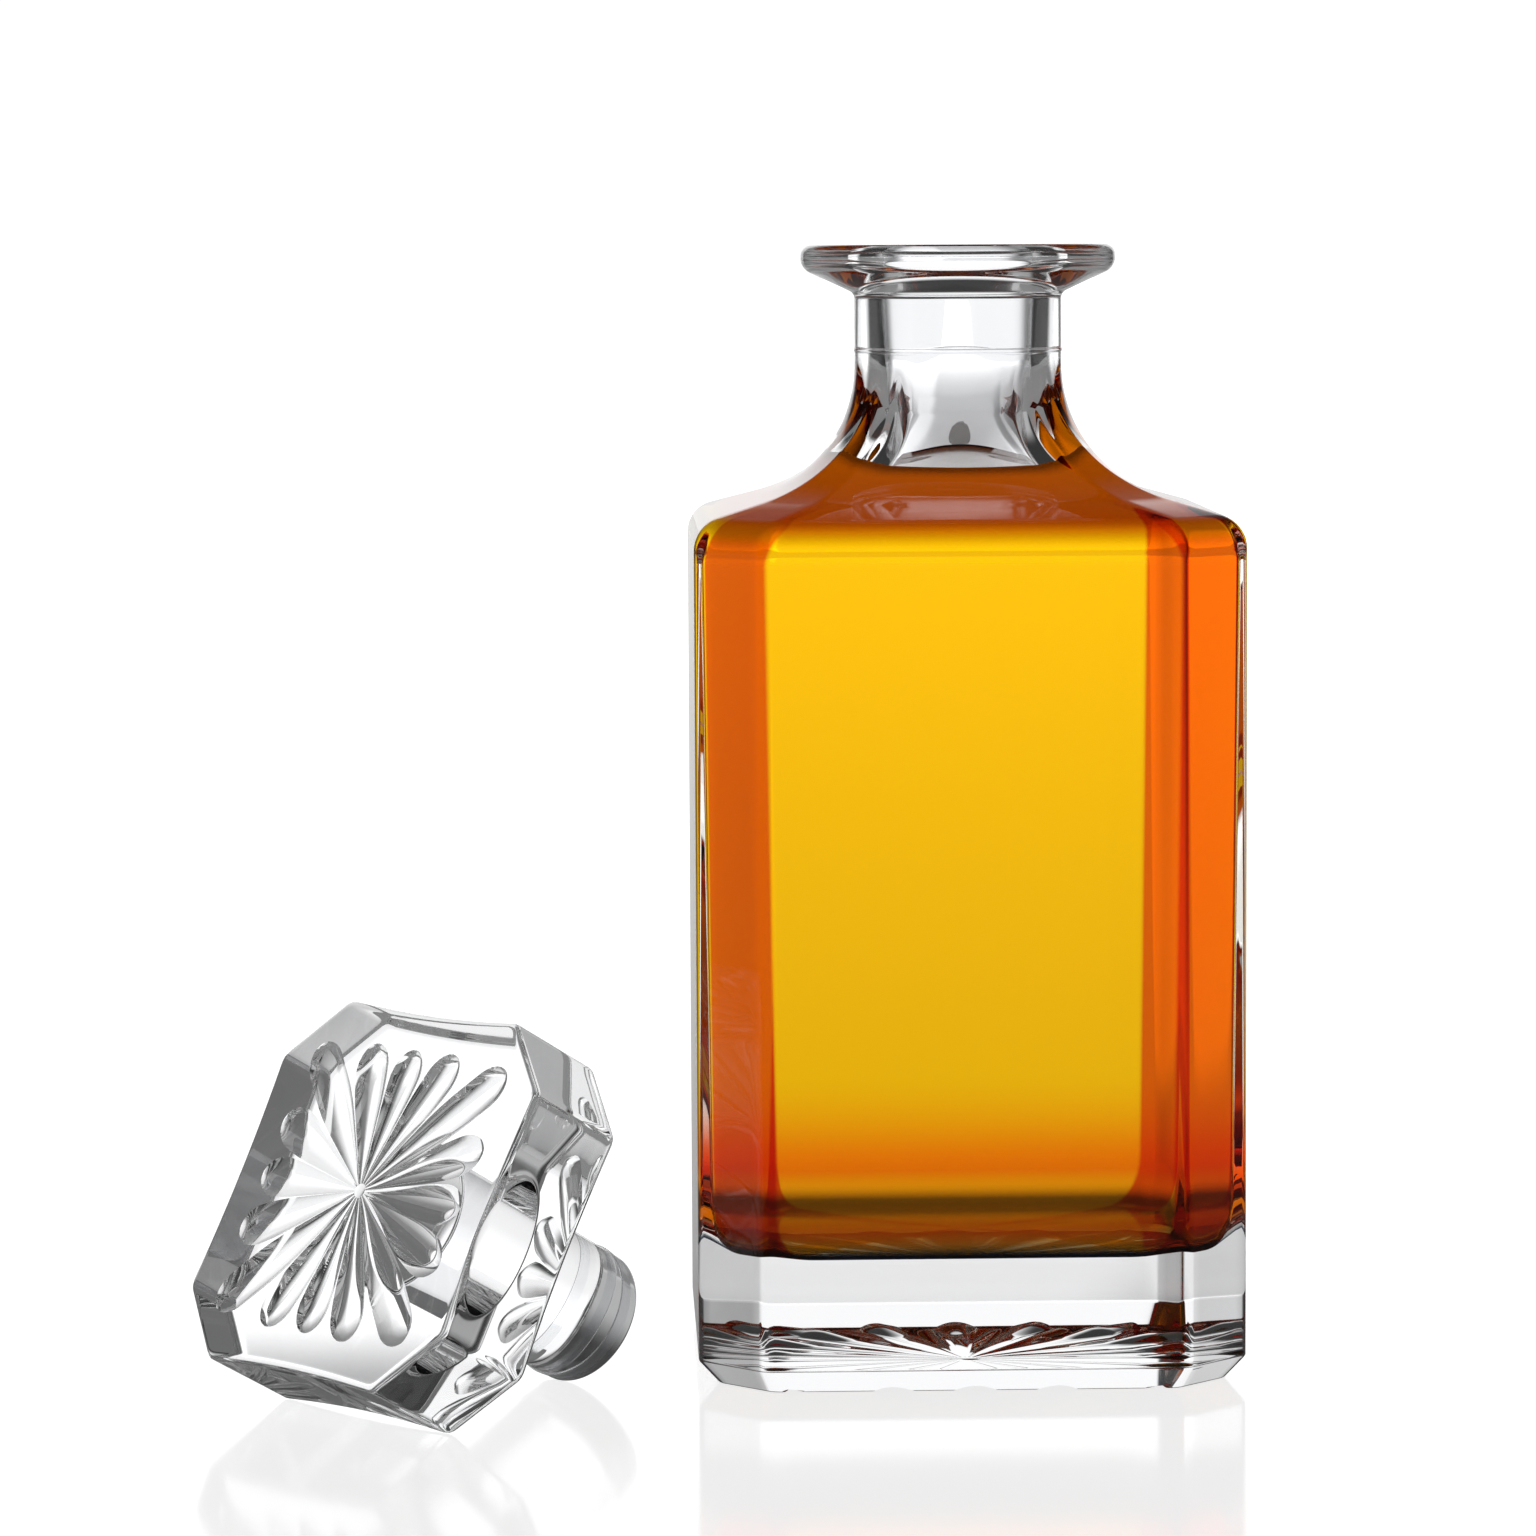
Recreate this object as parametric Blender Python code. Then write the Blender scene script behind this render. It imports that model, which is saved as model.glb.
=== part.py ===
"""Cut crystal whisky decanter: a square bottle, and its star-cut stopper lying beside it.

Metres, +Z up. The origin is on the table, under the middle of the whole arrangement.
"""

import math

import bmesh
import bpy
from mathutils import Matrix, Vector

MM = 0.001

# Where the bottle's axis stands, and how far the bottle is turned about it.
BOTTLE_X = 40.0 * MM
BOTTLE_Y = 21.6 * MM
BOTTLE_TURN = math.radians(1.6)

# Body: a square with cut corners, a bevel round its foot and a thick clear base.
BODY_HALF = 45.0 * MM
BODY_CUT = 10.5 * MM  # length of a cut corner's leg along each side
FOOT_INSET = 3.4 * MM
FOOT_HEIGHT = 3.9 * MM
SHOULDER_ROUND = 5.5 * MM
SHOULDER_SLOPE = math.radians(16.0)
SHOULDER_FADE = 1.3  # power by which the cut corners fade on the way up to the round neck

# Neck and lip.
NECK_R = 17.35 * MM
FLARE_R = 23.0 * MM  # the concave sweep from the shoulder up to the neck
FLARE_TOP_Z = 166.2 * MM
BEAD_Z = 168.6 * MM
BEAD_RISE = 0.25 * MM
LIP_Z = 186.1 * MM
LIP_R = 26.3 * MM
LIP_ROUND = 2.0 * MM  # the lip's edge, above its widest point
LIP_LOW_ROUND = 3.0 * MM  # and below it
LIP_SLOPE = math.radians(25.0)  # the cone under the lip

# Cavity.
BORE_R = 12.6 * MM
MOUTH_ROUND = 1.2 * MM
CAVITY_HALF = 41.0 * MM  # at its floor
CAVITY_TOP_HALF = 42.6 * MM  # under its shoulder: the wall thins towards the top
CAVITY_CUT = 8.4 * MM
CAVITY_FLOOR_Z = 21.0 * MM
CAVITY_FLOOR_ROUND = 8.0 * MM
CAVITY_SHOULDER_ROUND = 4.5 * MM
CAVITY_SHOULDER_SLOPE = math.radians(11.0)
CAVITY_FLARE_R = 16.5 * MM  # tighter than the outside, so the wall thickens in the shoulder
CAVITY_FLARE_TOP_Z = 157.7 * MM

# Stopper, built upright on its own axis with the plug's end at height 0.
HEAD_HALF = 31.6 * MM
HEAD_CUT = 11.1 * MM
HEAD_THICK = 19.4 * MM
HEAD_BEVEL = 1.1 * MM
STOPPER_LENGTH = 55.5 * MM
PLUG_R_END = 11.3 * MM
PLUG_R_HEAD = 11.9 * MM
PLUG_ROUND = 1.2 * MM
PLUG_FILLET = 1.8 * MM
GROOVE_Z = 1.9 * MM
GROOVE_WIDTH = 3.0 * MM
GROOVE_DEPTH = 0.9 * MM
GAP = 0.3 * MM  # clearance between touching pieces
RING_PROUD = 0.25 * MM
RING_EDGE = 0.4 * MM
RING_STEPS = 40

# Where the stopper lies: the middle of its plug's end from the bottle's axis, and the way its head faces.
STOPPER_OFFSET = Vector((-62.6, -26.6, 0.0)) * MM
STOPPER_HEADING = math.radians(-136.2)

# Star cuts: rays that widen from the hub.
STAR_ABOVE = 0.6 * MM  # how far a cutter stands out of the face it cuts
BASE_STAR_RAYS = 20
BASE_STAR_STATIONS = (  # distance from the hub, half width, depth
    (2.5 * MM, 0.20 * MM, 0.06 * MM),
    (30.0 * MM, 3.90 * MM, 1.40 * MM),
    (52.0 * MM, 1.70 * MM, 0.60 * MM),
)
HEAD_STAR_RAYS = 16
HEAD_STAR_HUB = 1.2 * MM
HEAD_STAR_HALF = 24.5 * MM  # the rays end on a square of this half size
HEAD_STAR_REACH = 32.5 * MM  # and no ray is longer than this
HEAD_STAR_WIDTH = 3.5 * MM  # a ray's half width at its widest
HEAD_STAR_DEPTH = 0.40  # a ray's depth over its half width

# Points round a ring, along each flat side and each cut corner, and steps along an arc.
SIDE_STEPS = 8
CORNER_STEPS = 2
ROUND_STEPS = 4
SWEEP_STEPS = 7
RAY_STEPS = 4
QUARTER = math.pi / 2


def clear_scene():
    for item in list(bpy.data.objects):
        bpy.data.objects.remove(item, do_unlink=True)


def glass(name, colour, roughness):
    material = bpy.data.materials.new(name)
    material.use_nodes = True
    shader = material.node_tree.nodes["Principled BSDF"]
    shader.inputs["Base Color"].default_value = (*colour, 1.0)
    shader.inputs["Roughness"].default_value = roughness
    shader.inputs["Metallic"].default_value = 0.0
    shader.inputs["IOR"].default_value = 1.52
    shader.inputs["Transmission Weight"].default_value = 1.0
    return material


def ring_angles(half, cut):
    """Directions of a ring's points, with one on each corner of the cut square."""
    corner = math.atan2(half - cut, half)
    angles = []
    for side in range(4):
        middle = side * QUARTER
        for step in range(SIDE_STEPS):
            angles.append(middle + corner * (2 * step / SIDE_STEPS - 1))
        for step in range(CORNER_STEPS):
            angles.append(middle + corner + (QUARTER - 2 * corner) * step / CORNER_STEPS)
    return angles


def cut_square_radius(angle, half, cut):
    """Distance from the middle to the outline of a square with cut corners."""
    from_side = abs((angle + QUARTER / 2) % QUARTER - QUARTER / 2)
    to_side = half / math.cos(from_side)
    to_corner = (2 * half - cut) / math.sqrt(2) / math.cos(QUARTER / 2 - from_side)
    return min(to_side, to_corner)


def section(z, half, cut, roundness):
    """One ring of points. Roundness 0 is the cut square, 1 is a circle of radius half."""
    ring = []
    for angle in ring_angles(half, cut):
        square = cut_square_radius(angle, half, cut)
        radius = square + (half - square) * roundness
        ring.append(Vector((radius * math.cos(angle), radius * math.sin(angle), z)))
    return ring


def arc(centre, radius, start, end, steps):
    """Points (distance from the axis, height) along an arc, angles in radians."""
    points = []
    for step in range(steps + 1):
        angle = start + (end - start) * step / steps
        points.append((centre[0] + radius * math.cos(angle), centre[1] + radius * math.sin(angle)))
    return points


def shoulder_profile(half, rounding, slope, neck_r, flare_r, flare_top_z):
    """From the body's straight side up over the shoulder to the neck, bottom to top.

    Gives (half size, height, roundness). The shoulder's slope is tangent to the sweep.
    """
    sweep_centre = (neck_r + flare_r, flare_top_z)
    lowest = math.radians(270.0) - slope
    slope_point = (
        sweep_centre[0] + flare_r * math.cos(lowest),
        sweep_centre[1] + flare_r * math.sin(lowest),
    )
    corner_r = half - rounding
    run = corner_r + rounding * math.sin(slope) - slope_point[0]
    top_z = slope_point[1] - run * math.tan(slope)
    corner_z = top_z - rounding * math.cos(slope)
    turn = QUARTER - slope
    profile = [(r, z, 0.0) for r, z in arc((corner_r, corner_z), rounding, 0.0, turn, ROUND_STEPS)]
    sweep = arc(sweep_centre, flare_r, lowest, math.pi, SWEEP_STEPS)
    for step, (r, z) in enumerate(sweep):
        profile.append((r, z, (step / SWEEP_STEPS) ** SHOULDER_FADE))
    return profile


def corner_cut(half):
    """Leg of the cut corner, in the body's own proportion."""
    return BODY_CUT * half / BODY_HALF


def bottle_outside():
    """Rings of the outer surface, from the foot up to the edge of the mouth."""
    foot_half = BODY_HALF - FOOT_INSET
    foot_cut = BODY_CUT - FOOT_INSET * (2 - math.sqrt(2))
    rings = [
        section(0.0, foot_half, foot_cut, 0.0),
        section(FOOT_HEIGHT, BODY_HALF, BODY_CUT, 0.0),
    ]
    shoulder = shoulder_profile(BODY_HALF, SHOULDER_ROUND, SHOULDER_SLOPE, NECK_R, FLARE_R, FLARE_TOP_Z)
    for half, z, roundness in shoulder:
        rings.append(section(z, half, corner_cut(half), roundness))
    widest_z = LIP_Z - LIP_ROUND
    low_centre = (LIP_R - LIP_LOW_ROUND, widest_z)
    underside = arc(low_centre, LIP_LOW_ROUND, LIP_SLOPE - QUARTER, 0.0, ROUND_STEPS)
    cone_r, cone_z = underside[0]
    cone_low = cone_z - (cone_r - NECK_R) * math.tan(LIP_SLOPE)
    turned = [
        (NECK_R, BEAD_Z - BEAD_RISE * 2),
        (NECK_R + BEAD_RISE, BEAD_Z),
        (NECK_R, BEAD_Z + BEAD_RISE * 2),
        (NECK_R, cone_low),
    ]
    turned += underside
    turned += arc((LIP_R - LIP_ROUND, widest_z), LIP_ROUND, 0.0, QUARTER, ROUND_STEPS)[1:]
    turned += arc((BORE_R + MOUTH_ROUND, LIP_Z - MOUTH_ROUND), MOUTH_ROUND, QUARTER, math.pi, 2)
    for radius, z in turned:
        rings.append(section(z, radius, corner_cut(radius), 1.0))
    return rings


def bottle_cavity():
    """Rings of the inner surface, from the neck down to the floor."""
    down = shoulder_profile(
        CAVITY_TOP_HALF,
        CAVITY_SHOULDER_ROUND,
        CAVITY_SHOULDER_SLOPE,
        BORE_R,
        CAVITY_FLARE_R,
        CAVITY_FLARE_TOP_Z,
    )
    down.reverse()
    centre = (CAVITY_HALF - CAVITY_FLOOR_ROUND, CAVITY_FLOOR_Z + CAVITY_FLOOR_ROUND)
    for half, z in arc(centre, CAVITY_FLOOR_ROUND, 0.0, -QUARTER, ROUND_STEPS):
        down.append((half, z, 0.0))
    share = CAVITY_CUT / CAVITY_HALF
    return [section(z, half, share * half, roundness) for half, z, roundness in down]


def loft(name, rings):
    """A closed body: quads between the rings, and one face over each end."""
    bm = bmesh.new()
    loops = [[bm.verts.new(point) for point in ring] for ring in rings]
    count = len(loops[0])
    for low, high in zip(loops, loops[1:]):
        for i in range(count):
            j = (i + 1) % count
            bm.faces.new((low[i], low[j], high[j], high[i]))
    bm.faces.new(list(reversed(loops[0])))
    bm.faces.new(loops[-1])
    bmesh.ops.recalc_face_normals(bm, faces=bm.faces)
    mesh = bpy.data.meshes.new(name)
    bm.to_mesh(mesh)
    bm.free()
    return mesh


def add_object(name, mesh, material, parent):
    item = bpy.data.objects.new(name, mesh)
    bpy.context.scene.collection.objects.link(item)
    item.parent = parent
    if material is not None:
        mesh.materials.append(material)
        mesh.shade_smooth()
        mesh.set_sharp_from_angle(angle=math.radians(25.0))
    return item


def add_empty(name, parent):
    item = bpy.data.objects.new(name, None)
    bpy.context.scene.collection.objects.link(item)
    item.parent = parent
    return item


def groove_outline(half_width, depth):
    """A cutter's cross-section: square above the face, half an ellipse below it."""
    outline = [(-half_width, STAR_ABOVE)]
    for step in range(RAY_STEPS + 1):
        angle = math.pi * (1 - step / RAY_STEPS)
        outline.append((half_width * math.cos(angle), -depth * math.sin(angle)))
    outline.append((half_width, STAR_ABOVE))
    return outline


def add_ray(bm, angle, stations):
    """One ray's cutter, along the face z = 0, lofted through (distance, half width, depth)."""
    along = Vector((math.cos(angle), math.sin(angle), 0.0))
    across = Vector((-math.sin(angle), math.cos(angle), 0.0))
    loops = []
    for distance, half_width, depth in stations:
        loop = []
        for side, height in groove_outline(half_width, depth):
            loop.append(bm.verts.new(along * distance + across * side + Vector((0, 0, height))))
        loops.append(loop)
    count = len(loops[0])
    for near, far in zip(loops, loops[1:]):
        for i in range(count):
            j = (i + 1) % count
            bm.faces.new((near[i], near[j], far[j], far[i]))
    bm.faces.new(loops[0])
    bm.faces.new(list(reversed(loops[-1])))


def star_cutter(name, rays, stations_for, placement, parent):
    """All the rays of one star, as a hidden cutter. stations_for gives a ray's stations."""
    bm = bmesh.new()
    for ray in range(rays):
        angle = 2 * math.pi * ray / rays
        add_ray(bm, angle, stations_for(angle))
    bmesh.ops.transform(bm, matrix=placement, verts=bm.verts)
    bmesh.ops.recalc_face_normals(bm, faces=bm.faces)
    mesh = bpy.data.meshes.new(name)
    bm.to_mesh(mesh)
    bm.free()
    cutter = add_object(name, mesh, None, parent)
    cutter.hide_render = True
    cutter.display_type = "WIRE"
    return cutter


def cut(item, cutter):
    boolean = item.modifiers.new(cutter.name, "BOOLEAN")
    boolean.operation = "DIFFERENCE"
    boolean.solver = "EXACT"
    boolean.object = cutter


def base_star_stations(angle):
    """Every ray of the base's star is the same, whatever its angle."""
    return BASE_STAR_STATIONS


def head_star_stations(angle):
    """A ray of the head's star: straight sides from the hub, and a round far end."""
    from_side = abs((angle + QUARTER / 2) % QUARTER - QUARTER / 2)
    reach = min(HEAD_STAR_HALF / math.cos(from_side), HEAD_STAR_REACH)
    stations = [(HEAD_STAR_HUB, 0.14 * MM, 0.05 * MM)]
    for degrees in (90, 60, 30, 8):
        turn = math.radians(degrees)
        distance = reach - HEAD_STAR_WIDTH + HEAD_STAR_WIDTH * math.cos(turn)
        half_width = HEAD_STAR_WIDTH * math.sin(turn)
        stations.append((distance, half_width, half_width * HEAD_STAR_DEPTH))
    return stations


def make_bottle(root, material):
    """The bottle: outer rings up to the mouth, then the cavity's down to its floor."""
    mesh = loft("decanter_bottle", bottle_outside() + bottle_cavity())
    bottle = add_object("decanter_bottle", mesh, material, root)
    bottle.location = (BOTTLE_X, BOTTLE_Y, 0.0)
    bottle.rotation_euler = (0.0, 0.0, BOTTLE_TURN)
    upside_down = Matrix.Rotation(math.pi, 4, "X")
    cut(bottle, star_cutter("base_star_cutter", BASE_STAR_RAYS, base_star_stations, upside_down, bottle))
    return bottle


def plug_radius(z):
    """The plug widens a little from its end to the head."""
    plug_length = STOPPER_LENGTH - HEAD_THICK
    return PLUG_R_END + (PLUG_R_HEAD - PLUG_R_END) * z / plug_length


def plug_profile():
    """Half section of the plug, from its end to the head, with the seal's groove."""
    under = STOPPER_LENGTH - HEAD_THICK
    end = arc((PLUG_R_END - PLUG_ROUND, PLUG_ROUND), PLUG_ROUND, -QUARTER, 0.0, 3)
    floor_r = plug_radius(GROOVE_Z) - GROOVE_DEPTH
    groove_top = GROOVE_Z + GROOVE_WIDTH
    groove = [
        (plug_radius(GROOVE_Z), GROOVE_Z),
        (floor_r, GROOVE_Z),
        (floor_r, groove_top),
        (plug_radius(groove_top), groove_top),
    ]
    fillet_centre = (PLUG_R_HEAD + PLUG_FILLET, under - PLUG_FILLET)
    fillet = arc(fillet_centre, PLUG_FILLET, math.pi, QUARTER, 3)
    return end + groove + fillet


def make_stopper(carrier, material):
    """The stopper: a round plug, and a square head with cut corners and a star on its face."""
    rings = [section(z, radius, corner_cut(radius), 1.0) for radius, z in plug_profile()]
    under = STOPPER_LENGTH - HEAD_THICK
    bevel_cut = HEAD_CUT - HEAD_BEVEL * (2 - math.sqrt(2))
    head = [
        (under, HEAD_HALF - HEAD_BEVEL, bevel_cut),
        (under + HEAD_BEVEL, HEAD_HALF, HEAD_CUT),
        (STOPPER_LENGTH - HEAD_BEVEL, HEAD_HALF, HEAD_CUT),
        (STOPPER_LENGTH, HEAD_HALF - HEAD_BEVEL, bevel_cut),
    ]
    rings += [section(z, half, leg, 0.0) for z, half, leg in head]
    stopper = add_object("stopper", loft("stopper", rings), material, carrier)
    on_face = Matrix.Translation((0.0, 0.0, STOPPER_LENGTH))
    cut(stopper, star_cutter("head_star_cutter", HEAD_STAR_RAYS, head_star_stations, on_face, stopper))
    return stopper


def make_seal_ring(carrier, material):
    """The clear ring in the plug's groove, GAP clear of the glass on every side."""
    inner_r = plug_radius(GROOVE_Z) - GROOVE_DEPTH + GAP
    outer_r = plug_radius(GROOVE_Z) + RING_PROUD
    low = GROOVE_Z + GAP
    high = GROOVE_Z + GROOVE_WIDTH - GAP
    profile = [
        (inner_r, low),
        (outer_r - RING_EDGE, low),
        (outer_r, low + RING_EDGE),
        (outer_r, high - RING_EDGE),
        (outer_r - RING_EDGE, high),
        (inner_r, high),
    ]
    bm = bmesh.new()
    verts = [bm.verts.new((r, 0.0, z)) for r, z in profile]
    face = bm.faces.new(verts)
    bmesh.ops.spin(
        bm,
        geom=[face, *face.edges, *face.verts],
        cent=(0.0, 0.0, 0.0),
        axis=(0.0, 0.0, 1.0),
        angle=2 * math.pi,
        steps=RING_STEPS,
        use_merge=True,
        use_duplicate=False,
    )
    spare = [f for f in bm.faces if len(f.verts) == len(profile)]
    bmesh.ops.delete(bm, geom=spare, context="FACES")
    bmesh.ops.remove_doubles(bm, verts=bm.verts, dist=0.000001)
    bmesh.ops.recalc_face_normals(bm, faces=bm.faces)
    mesh = bpy.data.meshes.new("stopper_seal_ring")
    bm.to_mesh(mesh)
    bm.free()
    return add_object("stopper_seal_ring", mesh, material, carrier)


def lay_down(carrier):
    """Lays the stopper on the table: it rests on one lower edge of its head and on its plug's end."""
    rim_r = HEAD_HALF
    rim_z = STOPPER_LENGTH - HEAD_THICK + HEAD_BEVEL
    tilt = min(math.atan2(rim_r - r, rim_z - z) for r, z in plug_profile() if z < GROOVE_Z)
    height = rim_r * math.cos(tilt) - rim_z * math.sin(tilt)
    face = Vector((math.cos(STOPPER_HEADING), math.sin(STOPPER_HEADING), 0.0)) * math.cos(tilt)
    face.z = math.sin(tilt)
    level = Vector((-math.sin(STOPPER_HEADING), math.cos(STOPPER_HEADING), 0.0))
    up = face.cross(level)
    turned = Matrix((level, up, face)).transposed().to_4x4()
    place = Vector((BOTTLE_X, BOTTLE_Y, height)) + STOPPER_OFFSET
    carrier.matrix_world = Matrix.Translation(place) @ turned


def main():
    clear_scene()
    crystal = glass("crystal", (0.97, 0.98, 0.99), 0.02)
    clear_seal = glass("clear_seal", (0.93, 0.94, 0.95), 0.12)
    root = add_empty("decanter", None)
    make_bottle(root, crystal)
    carrier = add_empty("stopper_carrier", root)
    make_stopper(carrier, crystal)
    make_seal_ring(carrier, clear_seal)
    lay_down(carrier)


main()
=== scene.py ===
import math

import bmesh
import bpy
from mathutils import Matrix, Vector


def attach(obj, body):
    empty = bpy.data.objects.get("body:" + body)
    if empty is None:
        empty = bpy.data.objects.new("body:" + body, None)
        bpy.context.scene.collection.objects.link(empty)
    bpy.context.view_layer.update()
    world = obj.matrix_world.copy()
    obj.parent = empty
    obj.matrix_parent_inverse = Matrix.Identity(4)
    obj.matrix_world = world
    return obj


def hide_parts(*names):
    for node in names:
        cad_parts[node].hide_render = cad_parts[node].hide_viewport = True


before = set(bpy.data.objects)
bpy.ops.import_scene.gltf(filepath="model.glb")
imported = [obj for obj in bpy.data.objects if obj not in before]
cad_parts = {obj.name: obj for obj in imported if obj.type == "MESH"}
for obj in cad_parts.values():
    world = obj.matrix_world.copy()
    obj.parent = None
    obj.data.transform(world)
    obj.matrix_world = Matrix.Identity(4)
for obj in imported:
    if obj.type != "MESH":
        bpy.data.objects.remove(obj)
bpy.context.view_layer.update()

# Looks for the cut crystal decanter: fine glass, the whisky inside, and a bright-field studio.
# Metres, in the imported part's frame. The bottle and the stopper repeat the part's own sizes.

MM = 0.001
QUARTER = math.pi / 2

# Where the bottle's axis stands, and how far the bottle is turned about it.
BOTTLE_AT = Vector((40.0, 21.6, 0.0)) * MM
BOTTLE_TURN = math.radians(1.6)
BOTTLE_PLACE = Matrix.Translation(BOTTLE_AT) @ Matrix.Rotation(BOTTLE_TURN, 4, "Z")

# Body.
BODY_HALF = 45.0 * MM
BODY_CUT = 10.5 * MM
FOOT_INSET = 3.4 * MM
FOOT_HEIGHT = 3.9 * MM
FOOT_EDGE_ROUND = 0.9 * MM
FOOT_RUN = 6.0 * MM  # how far up the side the foot's own rings go
SHOULDER_ROUND = 5.5 * MM
SHOULDER_SLOPE = math.radians(16.0)
SHOULDER_FADE = 1.3
EDGE_SOFT = 1.0 * MM  # how far the upright edges are melted back

# Neck and lip.
NECK_R = 17.35 * MM
FLARE_R = 23.0 * MM
FLARE_TOP_Z = 166.2 * MM
BEAD_Z = 168.6 * MM
BEAD_RISE = 0.25 * MM
BEAD_SIDE = 1.4 * BEAD_RISE  # how far above and below its middle it ends
BEAD_SIDE_ROUND = 0.3 * MM
BEAD_ROUND = 0.5 * MM
LIP_Z = 186.1 * MM
LIP_R = 26.3 * MM
LIP_SLOPE = math.radians(25.0)
LIP_ROUND = 1.8 * MM
LIP_LOW_ROUND = 2.7 * MM
LIP_LOW_Z = 182.2 * MM  # where the cone under the lip would meet the lip's side
LIP_NECK_FILLET = 1.4 * MM

# Cavity.
BORE_R = 12.6 * MM
MOUTH_ROUND = 1.2 * MM
MOUTH_DEPTH = 4.0 * MM  # how far down the bore the outside surface is taken
CAVITY_HALF = 41.0 * MM  # at its floor
CAVITY_TOP_HALF = 42.6 * MM  # under its shoulder: the wall thins towards the top
CAVITY_CUT = 8.4 * MM
CAVITY_SOFT = 1.2 * MM
CAVITY_FLOOR_Z = 21.0 * MM
CAVITY_FLOOR_ROUND = 8.0 * MM
CAVITY_SHOULDER_ROUND = 4.5 * MM
CAVITY_SHOULDER_SLOPE = math.radians(11.0)
CAVITY_FLARE_R = 16.5 * MM
CAVITY_FLARE_TOP_Z = 157.7 * MM

# Whisky.
WHISKY_Z = 146.3 * MM
MENISCUS_RISE = 0.9 * MM
MENISCUS_REACH = 1.6 * MM
WHISKY_OVERLAP = 0.04 * MM  # how far the whisky's skin stands in the glass
SURFACE_RINGS = 24
SURFACE_SPREAD = 0.6  # below 1, its rings crowd together at the glass
SURFACE_MIDDLE = 0.02  # the last ring's share of the surface's radius
# Painted shade in the whisky's skin colour: where the whisky is tinted to look deeper or darker, from
# none to full, and the tint that it takes there.
PAINTED_CORNER_DEPTH = (0.775, 0.80)  # lesser over greater of |x| and |y|, from the flats to the cut corners
PAINTED_CORNER_DEPTH_TINT = (0.60, 0.050, 0.0)
CORNER_ENDS = (142.0 * MM, 137.5 * MM)  # the corners' tint fades out into the shoulder's
PAINTED_SHOULDER_DEPTH = (137.4 * MM, 139.4 * MM)
PAINTED_SHOULDER_DEPTH_TINT = (0.48, 0.038, 0.0)
PAINTED_FLOOR_DEPTH = (44.0 * MM, 28.0 * MM)
PAINTED_FLOOR_DEPTH_TINT = (0.95, 0.20, 0.0)
FLOOR_CLEAR = (23.0 * MM, 27.0 * MM)  # and the floor itself keeps clear of the floor's tint
# Painted dark shade in the whisky's skin just under its free surface.
PAINTED_TOP_SHADE = (144.8 * MM, 146.8 * MM)
PAINTED_TOP_SHADE_TINT = (0.10, 0.12, 0.22)
# Painted dark shade in the whisky's skin at its floor.
PAINTED_FLOOR_SHADE = (24.5 * MM, 22.0 * MM)
PAINTED_FLOOR_SHADE_TINT = (0.035, 0.045, 0.08)

# Stopper.
HEAD_HALF = 31.6 * MM
HEAD_CUT = 11.1 * MM
HEAD_THICK = 19.4 * MM
HEAD_BACK_ROUND = 1.5 * MM
HEAD_FRONT_ROUND = 1.3 * MM
HEAD_DIP = 0.8 * MM  # how hollow each of the head's four sides is
STOPPER_LENGTH = 55.5 * MM
PLUG_LENGTH = STOPPER_LENGTH - HEAD_THICK
PLUG_R_END = 11.3 * MM
PLUG_R_HEAD = 11.9 * MM
PLUG_ROUND = 1.2 * MM
PLUG_FILLET = 1.8 * MM
HEAD_BEVEL = 1.1 * MM  # the height over the head's back at which it rests
END_ARC_STEPS = 3
HEAD_RINGS = (8.0 * MM, 2.2 * MM)  # past the plug, and short of the face's edge
STAR_PLACE = Matrix.Translation((0.0, 0.0, STOPPER_LENGTH))
STOPPER_OFFSET = Vector((-62.6, -26.6, 0.0)) * MM
STOPPER_HEADING = math.radians(-136.2)

# Seal ring: a wedge that clings to the plug, thin at its lower edge and proud at its upper one.
RING_LOW = 2.2 * MM
RING_HIGH = 4.6 * MM
RING_GAP = 0.02 * MM
RING_PROUD = 0.25 * MM
RING_EDGE_ROUND = 0.12 * MM
RING_LEDGE = 1.0 * MM

# Star cuts.
STAR_ABOVE = 0.6 * MM
BASE_STAR_RAYS = 20
# Each station: distance from the middle, half width, depth.
BASE_STAR_STATIONS = (
    (2.5 * MM, 0.25 * MM, 0.02 * MM),
    (30.0 * MM, 1.60 * MM, 0.10 * MM),
    (40.0 * MM, 3.90 * MM, 1.00 * MM),
    (52.0 * MM, 1.70 * MM, 0.60 * MM),
)
HEAD_STAR_RAYS = 16
HEAD_STAR_HUB = 1.2 * MM
HEAD_STAR_HALF = 24.5 * MM
HEAD_STAR_REACH = 32.5 * MM
HEAD_STAR_WIDTH = 3.6 * MM
HEAD_STAR_FILL = 0.97  # share of the pitch that the rays fill near the hub
HEAD_STAR_DEPTH = 0.42  # of the ray's half width
HEAD_STAR_BLEND = 0.8 * MM
HEAD_STAR_TIP = 1.3  # the drop at a ray's end, in half widths
HEAD_STAR_TIP_TURNS = (90, 75, 60, 45, 30, 18, 8)

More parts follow.
